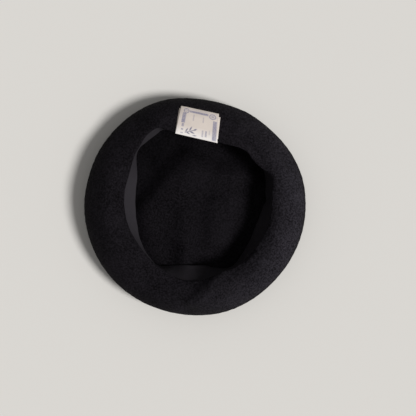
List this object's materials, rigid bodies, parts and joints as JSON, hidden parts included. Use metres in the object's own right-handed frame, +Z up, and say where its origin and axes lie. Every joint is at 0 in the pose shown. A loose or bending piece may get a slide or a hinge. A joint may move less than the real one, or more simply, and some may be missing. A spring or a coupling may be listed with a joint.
{
  "type": "beret",
  "caption": "Round felt beret lying on its crown, with a cloth sweatband inside the head opening and a folded label that flips open.",
  "frame": {"origin": "on the ground under the middle of the plate, the beret lying on its crown", "axes": "+Z up out of the head opening; +Y towards the side that carries the label; +X to its right"},
  "size_m": [0.273, 0.273, 0.0538],
  "materials": {
    "black_felt": "brushed wool felt, matt with a short nap",
    "band_cloth": "smooth finely ribbed ribbon",
    "black_thread": "twisted sewing thread",
    "label_cloth": "printed cream satin cloth",
    "label_thread": "fine cream sewing thread"
  },
  "bodies": {
    "hat": {"felt_body": "black_felt", "stalk": "black_felt", "sweatband": "band_cloth", "seam_stitches": "black_thread", "band_join_stitches": "black_thread", "stalk_stitches": "black_thread", "label_sewn_leaf": "label_cloth", "label_stitches": "label_thread"},
    "label_flap": {"label_flap": "label_cloth"}
  },
  "joints": [
    {"name": "label_flap_hinge", "type": "hinge", "parent": "hat", "child": "label_flap", "pos_m": [0.00275, 0.0842, 0.05], "axis": [0.9746, -0.2241, 0], "range_deg": [0, 185]}
  ]
}
